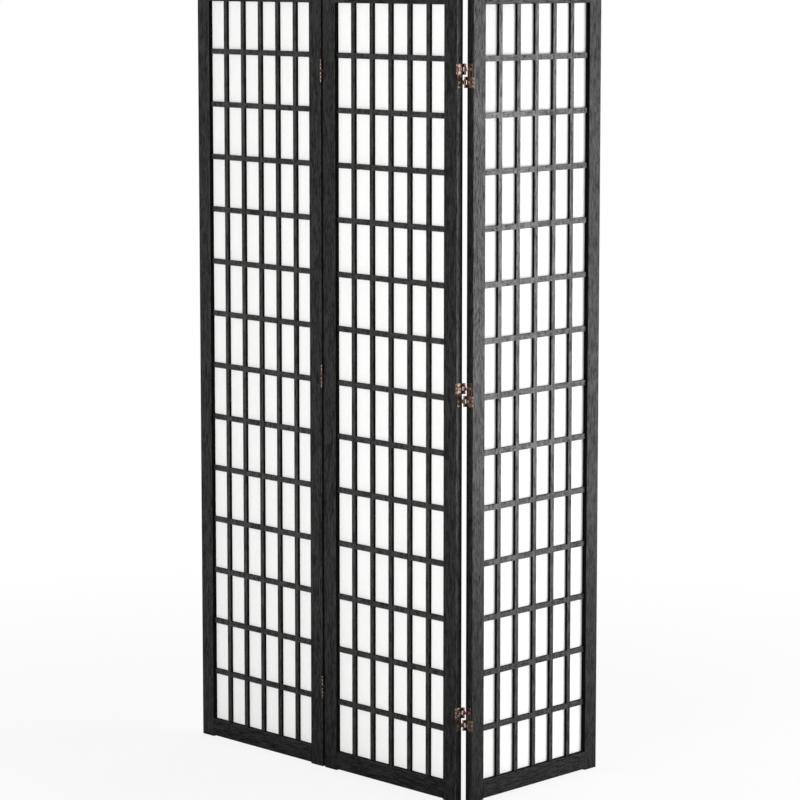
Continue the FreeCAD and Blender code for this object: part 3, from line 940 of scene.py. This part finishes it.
def lay_floor(stage):
    """A pale floor that keeps the screen's shadow and fades to plain white further out."""
    mesh = bpy.data.meshes.new("floor")
    form = bmesh.new()
    bmesh.ops.create_grid(form, x_segments=1, y_segments=1, size=stage.floor_size / 2)
    form.to_mesh(mesh)
    form.free()
    floor = bpy.data.objects.new("floor", mesh)
    bpy.context.scene.collection.objects.link(floor)
    material, tree = new_material("pale floor")
    matt = tree.add("ShaderNodeBsdfDiffuse", Color=stage.floor)
    white = tree.add("ShaderNodeEmission", Color=(1, 1, 1), Strength=1.0)
    place = tree.out(tree.add("ShaderNodeTexCoord"), "Object")
    away = tree.out(tree.add("ShaderNodeVectorMath", {"operation": "LENGTH"}, Vector=place), "Value")
    fade = tree.ramp(away * (1 / stage.floor_reach), (0.3, 0), (1, 1))
    path = tree.add("ShaderNodeLightPath")
    camera = tree.out(path, "Is Camera Ray")
    reflected = tree.out(path, "Is Glossy Ray").larger(tree.out(path, "Is Transmission Ray"))
    whiteness = fade * (1 - stage.floor_white) + stage.floor_white
    plain = camera * whiteness + reflected * (1 - camera) * fade
    finish_material(tree, tree.add(
        "ShaderNodeMixShader", Fac=plain, Shader=tree.out(matt), Shader_001=tree.out(white),
    ))
    mesh.materials.append(material)


def light_world(scene, stage):
    """Even light all round, and plain white where the camera or a reflection sees it."""
    world = bpy.data.worlds.new("studio")
    world.use_nodes = True
    world.node_tree.nodes.clear()
    tree = Tree(world.node_tree)
    strength = tree.seen() * (1 - stage.ambient) + stage.ambient
    sky = tree.add("ShaderNodeBackground", Color=(1, 1, 1), Strength=strength)
    tree.add("ShaderNodeOutputWorld", Surface=tree.out(sky))
    scene.world = world


def hang_lamp(name, spot, aim, size, watts):
    """A soft lamp that the camera doesn't see."""
    lamp = bpy.data.lights.new(name, "AREA")
    lamp.shape = "RECTANGLE"
    lamp.size, lamp.size_y = size
    lamp.energy = watts
    obj = bpy.data.objects.new(name, lamp)
    obj.location = spot
    obj.rotation_euler = (Vector(aim) - Vector(spot)).to_track_quat("-Z", "Y").to_euler()
    obj.visible_camera = False
    bpy.context.scene.collection.objects.link(obj)


def stand_camera(scene, stage):
    """The photograph's view of the screen."""
    camera = bpy.data.cameras.new("camera")
    camera.lens = stage.lens
    camera.sensor_width = SENSOR_WIDTH
    camera.clip_end = FARTHEST_SIGHT
    obj = bpy.data.objects.new("camera", camera)
    obj.location = stage.eye
    obj.rotation_euler = (math.pi / 2 - stage.tilt, 0, stage.heading)
    scene.collection.objects.link(obj)
    scene.camera = obj


class SCREEN_PT_panel(bpy.types.Panel):
    """Lists the steps and the sizes of the folding screen"""
    bl_label = "Folding Screen"
    bl_idname = "SCREEN_PT_panel"
    bl_space_type = "VIEW_3D"
    bl_region_type = "UI"
    bl_category = "Folding Screen"

    def draw(self, context):
        column = self.layout.column()
        for operator in OPERATORS:
            column.operator(operator.bl_idname)
        for name in GROUPS:
            box = self.layout.box()
            settings = getattr(context.scene, name)
            for prop in settings.__annotations__:
                box.prop(settings, prop)


OPERATORS = (
    SCREEN_OT_stain_wood,
    SCREEN_OT_paper_panels,
    SCREEN_OT_hinge_leaves,
    SCREEN_OT_hinge_links,
    SCREEN_OT_hinge_pins,
    SCREEN_OT_hinge_screws,
    SCREEN_OT_set_stage,
)
GROUPS = {
    "screen_finish": SCREEN_PG_finish,
    "screen_hinge": SCREEN_PG_hinge,
    "screen_stage": SCREEN_PG_stage,
}


def register():
    """Add the settings, steps and panel to Blender."""
    for cls in (*GROUPS.values(), *OPERATORS, SCREEN_PT_panel):
        bpy.utils.register_class(cls)
    for name, cls in GROUPS.items():
        setattr(bpy.types.Scene, name, PointerProperty(type=cls))


def unregister():
    """Take them out again."""
    for name in GROUPS:
        delattr(bpy.types.Scene, name)
    for cls in reversed((*GROUPS.values(), *OPERATORS, SCREEN_PT_panel)):
        bpy.utils.unregister_class(cls)


def main():
    """Run every step in order."""
    register()
    bpy.ops.screen.stain_wood()
    bpy.ops.screen.paper_panels()
    bpy.ops.screen.hinge_leaves()
    bpy.ops.screen.hinge_links()
    bpy.ops.screen.hinge_pins()
    bpy.ops.screen.hinge_screws()
    bpy.ops.screen.set_stage()


if __name__ == "__main__":
    main()
